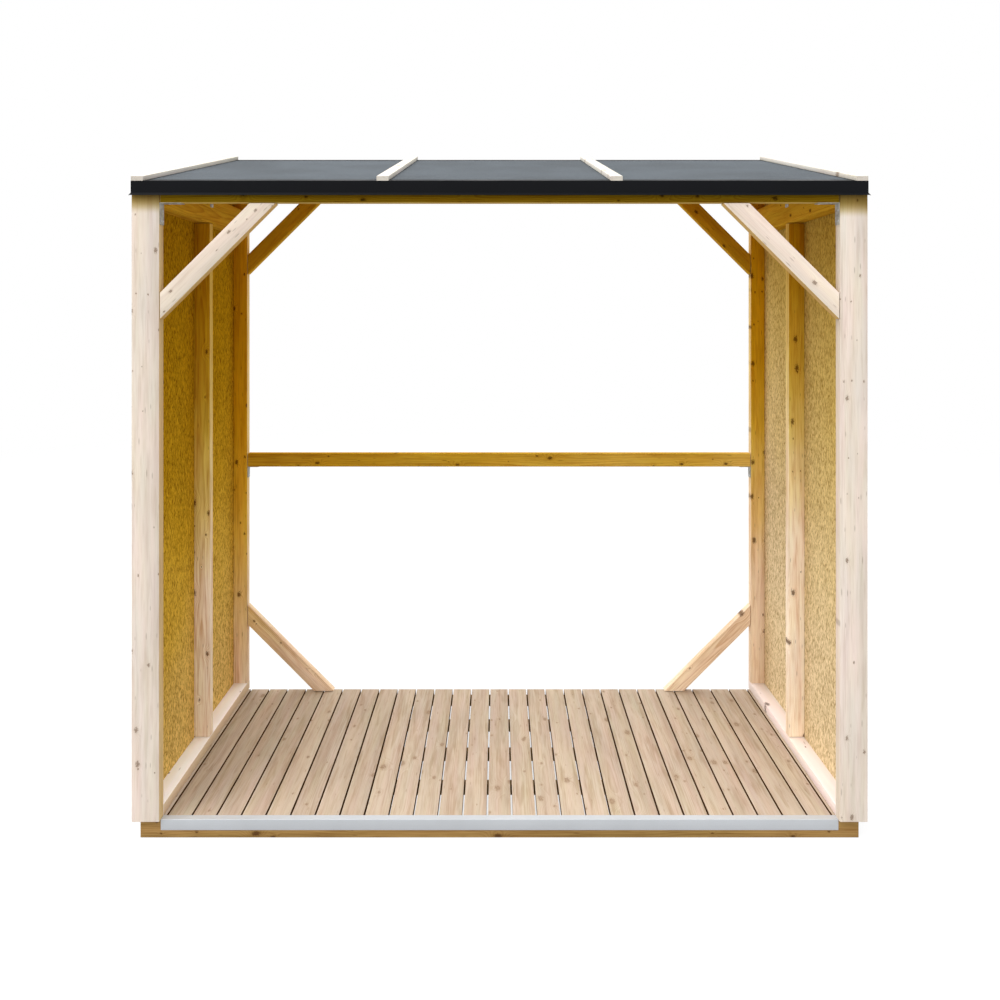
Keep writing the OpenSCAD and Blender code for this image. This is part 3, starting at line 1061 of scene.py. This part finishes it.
class LOGSTORE_OT_wall_frames(Operator):
    """Model the sole plates, studs, back posts and side beams of both walls"""

    bl_idname = "logstore.wall_frames"
    bl_label = "Wall frames"

    def execute(self, context):
        timbers(both_sides("sole_plate"), "frame_wood", "sole", Y, X)
        timbers(both_sides("mid_stud"), "frame_wood", "stud", Z, X, gap_axis=2)
        timbers(both_sides("back_post"), "frame_wood", "back", Z, X, [ROOF_CUT])
        timbers(both_sides("side_beam"), "frame_wood", "beam", Y, Z, [ROOF_CUT], gap_axis=1)
        return {"FINISHED"}


class LOGSTORE_OT_back_frame(Operator):
    """Model the back header, the rail and the four back braces"""

    bl_idname = "logstore.back_frame"
    bl_label = "Back frame"

    def execute(self, context):
        timbers(["back_header"], "frame_wood", "beam", X, Z, [ROOF_CUT], gap_axis=0)
        timbers(["back_rail"], "frame_wood", "beam", X, Z, gap_axis=0)
        for level, kind in (("upper", "beam"), ("lower", "back")):
            braces(f"{level}_back_brace", "frame_wood", kind)
        return {"FINISHED"}


class LOGSTORE_OT_wall_sheets(Operator):
    """Finish the inner wall sheets as strand board"""

    bl_idname = "logstore.wall_sheets"
    bl_label = "Wall sheets"

    def execute(self, context):
        for side in SIDES:
            paint(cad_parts[f"{side}_wall_sheet"], strand_material(side))
        return {"FINISHED"}


class LOGSTORE_OT_cladding(Operator):
    """Clad both walls with upright matched boards"""

    bl_idname = "logstore.cladding"
    bl_label = "Cladding"

    def execute(self, context):
        sizes = context.scene.log_store_timber
        low, high = box("right_cladding")
        count = round((high.y - low.y) / sizes.cladding_cover)
        cover = (high.y - low.y) / count
        first = add_block("cladding_board", low, Vector((high.x, low.y + cover, high.z)))
        with editing(first):
            select_parts("edges", lambda edge: runs_along(Z)(edge) and on_plane(edge, X, high.x))
            bevel_selected(sizes.vee, 1)
        for side in SIDES:
            node = f"{side}_cladding"
            boards = []
            for i in range(count):
                move, turn = Y * i * cover, (0, 0, 0)
                if side == "left":
                    move, turn = move + Y * (2 * low.y + cover), HALF_TURN
                board = copy_piece(first, f"{node}_board_{i + 1}", move, turn)
                with editing(board):
                    cut_away(*ROOF_CUT)
                boards.append(board)
            join_boards(f"{node}_boards", boards, "cladding", node, Z, Y)
        bpy.data.objects.remove(first)
        return {"FINISHED"}


class LOGSTORE_OT_roof_boards(Operator):
    """Lay the matched roof boards down the slope, on the purlin"""

    bl_idname = "logstore.roof_boards"
    bl_label = "Roof boards"

    def execute(self, context):
        low, high = box("roof_boards")
        count = round((high.x - low.x) / context.scene.log_store_timber.roof_cover)
        cover = (high.x - low.x) / count
        thickness = context.scene.log_store_roof.board_thickness
        first = slope_block("roof_board_1", low.x, low.x + cover, low.y, high.y, 0.0, thickness)
        with editing(first):
            select_parts("edges", lambda edge: runs_along(SLOPE_UP)(edge) and is_underside(edge))
            bevel_selected(context.scene.log_store_timber.vee, 1)
        boards = copies_beside(first, count, X * cover)
        join_boards("roof_matched_boards", boards, "roof", "roof_boards", SLOPE_UP, X)
        timbers(["mid_purlin"], "frame_wood", "beam", X, Z, [ROOF_CUT])
        return {"FINISHED"}


def is_underside(edge):
    return all(v.co.z < roof_under_z(v.co.y) + 10 * NEAR for v in edge.verts)


def slope_block(name, x0, x1, y0, y1, low, high):
    """A layer of the roof between two heights over the boards' underside, with plumb ends."""
    spare = 0.1
    half = ((y1 - y0) / math.cos(PITCH) + 2 * high + spare) / 2
    block = add_block(name, Vector((x0, -half, low)), Vector((x1, half, high)))
    middle_y = (y0 + y1) / 2
    block.rotation_euler = (PITCH, 0, 0)
    block.location = (0, middle_y, roof_under_z(middle_y))
    apply_transforms(block)
    with editing(block):
        cut_away(Vector((0, y0, 0)), -Y)
        cut_away(Vector((0, y1, 0)), Y)
    return block


class LOGSTORE_OT_felt(Operator):
    """Lay the felt in strips between the battens, slightly wavy"""

    bl_idname = "logstore.felt"
    bl_label = "Felt"

    def execute(self, context):
        roof = context.scene.log_store_roof
        low, high = box("roof_felt")
        seams = [sum(c.x for c in box(f"{side}_inner_batten")) / 2 for side in SIDES]
        edges = [low.x, *seams, high.x]
        top = roof.board_thickness + roof.felt_thickness
        strips = []
        for i, (x0, x1) in enumerate(zip(edges, edges[1:])):
            name = f"felt_strip_{i + 1}"
            strip = slope_block(name, x0, x1, low.y, high.y, roof.board_thickness, top)
            with editing(strip):
                select_parts("faces", faces(ROOF_NORMAL))
                bpy.ops.mesh.inset(thickness=roof.flat_edge)
                bpy.ops.mesh.subdivide(number_cuts=WAVE_CUTS)
            sink_waves(strip, draw_for(name), roof.felt_wave, roof.flat_edge + WAVE_SLACK)
            strips.append(strip)
        felt = join("roof_felt_strips", strips)
        smooth(felt, degrees=20)
        place_piece(felt, "felt", speckled_material("felt"), "roof_felt")
        return {"FINISHED"}


# How finely the felt is divided, how tight its waves are across the roof, up it and askew, how far
# past the flat edges they start, and how wide they fade in.
WAVE_CUTS = 24
WAVE_RATES = (5.1, 8.3, 13)
WAVE_SLACK = 0.001
WAVE_FADE = 0.08


def sink_waves(strip, draw, depth, margin):
    """Sinks the felt's points inside a flat margin by long, shallow waves."""
    phases = [draw.uniform(0, math.tau) for _ in WAVE_RATES]
    xs = [v.co.x for v in strip.data.vertices]
    ys = [v.co.y for v in strip.data.vertices]
    for vertex in strip.data.vertices:
        x, y = vertex.co.x, vertex.co.y
        inside = min(x - min(xs), max(xs) - x, y - min(ys), max(ys) - y)
        if inside > margin:
            ways = zip(WAVE_RATES, (x, y, x + y), phases)
            wave = sum(math.sin(rate * way + phase) for rate, way, phase in ways)
            fade = min(1, (inside - margin) / WAVE_FADE)
            vertex.co -= ROOF_NORMAL * depth * (0.5 + wave / 6) * fade


class LOGSTORE_OT_battens(Operator):
    """Model the four sawn battens that hold the felt"""

    bl_idname = "logstore.battens"
    bl_label = "Battens"

    def execute(self, context):
        roof = context.scene.log_store_roof
        bottom = roof.board_thickness + roof.felt_thickness + roof.metal_thickness
        top = bottom + roof.batten_height
        for part in ("edge", "inner"):
            low, high = box(f"left_{part}_batten")
            name = f"left_{part}_batten_sawn"
            left = slope_block(name, low.x, high.x, low.y, high.y, bottom, top)
            with editing(left):
                select_parts("edges", runs_along(SLOPE_UP))
                bevel_selected(roof.batten_arris, 2)
            smooth(left)
            move = box(f"right_{part}_batten")[0] - low
            right = copy_piece(left, f"right_{part}_batten_sawn", move)
            for piece in (left, right):
                lay_grain(piece, SLOPE_UP, X)
                node = piece.name.removesuffix("_sawn")
                place_piece(piece, "batten_wood", wood_material("batten"), node)
        return {"FINISHED"}


class LOGSTORE_OT_trims(Operator):
    """Finish the folded edge trims in satin paint"""

    bl_idname = "logstore.trims"
    bl_label = "Edge trims"

    def execute(self, context):
        for part in ("front", "back", "left", "right"):
            paint(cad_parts[f"{part}_edge_trim"], speckled_material("trim"))
        return {"FINISHED"}


class LOGSTORE_OT_brackets(Operator):
    """Press the angle brackets, with holes and screws"""

    bl_idname = "logstore.brackets"
    bl_label = "Brackets"

    def execute(self, context):
        for node in ("front_brackets", "rail_brackets", "purlin_brackets"):
            low, high = box(node)
            leg = high.z - low.z
            corner = Vector((high.x, (low.y + high.y) / 2, high.z))
            name = f"{node[:-1]}_pressed"
            right = bracket(f"right_{name}", corner, leg, high.y - low.y)
            left = copy_piece(right, f"left_{name}", Y * 2 * corner.y, HALF_TURN)
            place_piece(right, "bracket_metal", speckled_material("zinc"))
            place_piece(left, "bracket_metal", speckled_material("zinc"), node)
        return {"FINISHED"}


# Where a leg has its holes: along its width and its length, and whether a screw fills the hole.
BRACKET_HOLES = (
    (-0.25, 0.82, True),
    (0.25, 0.82, True),
    (0.0, 0.58, False),
    (-0.25, 0.34, True),
    (0.25, 0.34, False),
)


def bracket(name, corner, leg, width):
    """An angle bracket with drilled legs and round screw heads, in an upper right corner."""
    sizes = bpy.context.scene.log_store_bracket
    metal = sizes.metal
    half = width / 2
    plate = add_block(name, corner + Vector((-metal, -half, -leg)), corner + Vector((0, half, 0)))
    with editing(plate):
        fold_out(-X, corner.z - metal, leg - metal)
        select_parts("edges", lambda edge: is_leg_corner(edge, corner, leg))
        bevel_selected(sizes.corner, 4)
    screw = screw_head(sizes.head)
    heads = []
    for across, share, filled in BRACKET_HOLES:
        for leg_way, out in ((-Z, -X), (-X, -Z)):
            middle = corner + Y * width * across + leg_way * leg * share
            drill(plate, middle, out, sizes.hole / 2, depth=metal * 3)
            if filled:
                turn = out.to_track_quat("Z", "Y").to_euler()
                heads.append(copy_piece(screw, f"{name}_screw", middle + out * metal, turn))
    bpy.data.objects.remove(screw)
    piece = join(name, [plate, *heads])
    smooth(piece)
    return piece


def is_leg_corner(edge, corner, leg):
    """True for the short edges through the metal at a leg's free end."""
    a, b = (v.co - corner for v in edge.verts)
    at_foot = max(a.z, b.z) < NEAR - leg and runs_along(X)(edge)
    at_tip = max(a.x, b.x) < NEAR - leg and runs_along(Z)(edge)
    return at_foot or at_tip


def drill(plate, middle, direction, radius, depth):
    """Cuts a round hole with an applied Boolean."""
    deselect_all()
    bpy.ops.mesh.primitive_cylinder_add(vertices=12, radius=radius, depth=depth * 2, location=middle)
    tool = bpy.context.object
    tool.rotation_euler = direction.to_track_quat("Z", "Y").to_euler()
    apply_transforms(tool)
    choose(plate)
    cut = plate.modifiers.new("Hole", "BOOLEAN")
    cut.operation = "DIFFERENCE"
    cut.object = tool
    bpy.ops.object.modifier_apply(modifier=cut.name)
    bpy.data.objects.remove(tool)


def screw_head(size):
    """A low domed head that sits on the origin and looks up."""
    rim, recess, dome = size * 0.06, size * 0.1, 0.45
    deselect_all()
    bpy.ops.mesh.primitive_uv_sphere_add(segments=12, ring_count=8, radius=size / 2, location=(0, 0, 0))
    head = bpy.context.object
    with editing(head):
        cut_away(Vector((0, 0, 0)), -Z)
        select_parts("faces", faces(Z))
        bpy.ops.mesh.inset(thickness=rim)
        bpy.ops.transform.translate(value=-Z * recess)
    head.scale = (1, 1, dome)
    apply_transforms(head)
    face_values(head, "bright", lambda normal: float(normal.z > 0.05))
    return head


class LOGSTORE_OT_stage(Operator):
    """Set the floor, the soft studio light and the camera"""

    bl_idname = "logstore.stage"
    bl_label = "Stage"

    def execute(self, context):
        stage = context.scene.log_store_stage
        add_floor(stage, context.scene.log_store_colours)
        add_sky(stage)
        add_key_lamp(stage)
        add_camera(stage)
        context.scene.view_settings.view_transform = "Standard"
        return {"FINISHED"}


def seen_directly(net):
    """One for rays that show the background: from the camera, in gloss or let through."""
    path = net.add("ShaderNodeLightPath").outputs
    seen = net.math("MAXIMUM", path["Is Camera Ray"], path["Is Glossy Ray"])
    return net.math("MAXIMUM", seen, path["Is Transmission Ray"])


def add_floor(stage, colours):
    """A pale floor that fades to white around the store and keeps its soft shadow."""
    deselect_all()
    bpy.ops.mesh.primitive_plane_add(size=stage.floor_size, location=(0, 0, 0))
    floor = bpy.context.object
    floor.name = "studio_floor"
    material = bpy.data.materials.new("Studio floor")
    material.use_nodes = True
    material.node_tree.nodes.clear()
    net = Net(material.node_tree)
    seen = seen_directly(net)
    pale = net.mix(seen, colours.floor_shade, colours.floor)
    matt_floor = net.add("ShaderNodeBsdfDiffuse", {"Color": pale}).outputs[0]
    glow = net.add("ShaderNodeEmission", {"Color": (1, 1, 1, 1), "Strength": 1.0}).outputs[0]
    distance = net.vector("LENGTH", net.place())
    white = net.times(seen, net.step(distance, stage.fade_from, stage.fade_to, stage.near_white, 1.0))
    mixed = net.add("ShaderNodeMixShader", {0: white, 1: matt_floor, 2: glow}).outputs[0]
    net.add("ShaderNodeOutputMaterial", {"Surface": mixed})
    floor.data.materials.append(material)


def add_sky(stage):
    """Even studio light that grows towards the top and the left, before a white background."""
    world = bpy.data.worlds.new("Studio")
    bpy.context.scene.world = world
    world.use_nodes = True
    world.node_tree.nodes.clear()
    net = Net(world.node_tree)
    way = net.axes(net.add("ShaderNodeTexCoord").outputs["Generated"])
    top = net.step(way["Z"], 0.0, 1.0, 0.0, stage.sky_top)
    left = net.step(way["X"], 0.3, -1.0, 0.0, stage.sky_left)
    level = net.blend(seen_directly(net), net.plus(top, left, stage.sky), 1.0)
    back = net.add("ShaderNodeBackground", {"Color": (1, 1, 1, 1), "Strength": level}).outputs[0]
    net.add("ShaderNodeOutputWorld", {"Surface": back})


def add_key_lamp(stage):
    """A broad, soft lamp over the front left."""
    deselect_all()
    bpy.ops.object.light_add(type="SUN")
    lamp = bpy.context.object
    lamp.name = "key_lamp"
    lamp.data.energy = stage.key
    lamp.data.angle = stage.key_size
    to_left = X * math.sin(stage.key_turn) + Y * math.cos(stage.key_turn)
    to_lamp = Z * math.sin(stage.key_height) - to_left * math.cos(stage.key_height)
    lamp.rotation_euler = to_lamp.to_track_quat("Z", "Y").to_euler()


def add_camera(stage):
    """A level camera in front of the sill strip, with its lens shifted."""
    sill_low, _ = box("sill_strip")
    deselect_all()
    bpy.ops.object.camera_add(
        location=(stage.eye_side, sill_low.y - stage.eye_distance, DECK_Z + stage.eye_height),
        rotation=(math.radians(90), 0, 0),
    )
    camera = bpy.context.object
    camera.name = "camera"
    camera.data.lens = stage.lens
    camera.data.shift_x = stage.shift_x
    camera.data.shift_y = stage.shift_y
    camera.data.clip_end = stage.far
    bpy.context.scene.camera = camera


# ---------------------------------------------------------------- panel and registration


class LOGSTORE_PT_panel(Panel):
    """Lists the steps that build the log store's looks"""

    bl_idname = "LOGSTORE_PT_panel"
    bl_label = "Log Store"
    bl_space_type = "VIEW_3D"
    bl_region_type = "UI"
    bl_category = "Log Store"

    def draw(self, context):
        for operator in OPERATORS:
            self.layout.operator(operator.bl_idname)


SETTINGS = {
    "log_store_timber": LogStoreTimber,
    "log_store_roof": LogStoreRoof,
    "log_store_bracket": LogStoreBracket,
    "log_store_colours": LogStoreColours,
    "log_store_stage": LogStoreStage,
}
OPERATORS = (
    LOGSTORE_OT_stage,
    LOGSTORE_OT_base,
    LOGSTORE_OT_deck,
    LOGSTORE_OT_sill,
    LOGSTORE_OT_front_frame,
    LOGSTORE_OT_wall_frames,
    LOGSTORE_OT_back_frame,
    LOGSTORE_OT_wall_sheets,
    LOGSTORE_OT_cladding,
    LOGSTORE_OT_roof_boards,
    LOGSTORE_OT_felt,
    LOGSTORE_OT_battens,
    LOGSTORE_OT_trims,
    LOGSTORE_OT_brackets,
)


def register():
    for group in (*SETTINGS.values(), *OPERATORS, LOGSTORE_PT_panel):
        bpy.utils.register_class(group)
    for name, group in SETTINGS.items():
        setattr(bpy.types.Scene, name, PointerProperty(type=group))


def unregister():
    for name in SETTINGS:
        delattr(bpy.types.Scene, name)
    for group in reversed((*SETTINGS.values(), *OPERATORS, LOGSTORE_PT_panel)):
        bpy.utils.unregister_class(group)


def main():
    register()
    for operator in OPERATORS:
        category, name = operator.bl_idname.split(".")
        getattr(getattr(bpy.ops, category), name)()


if __name__ == "__main__":
    main()
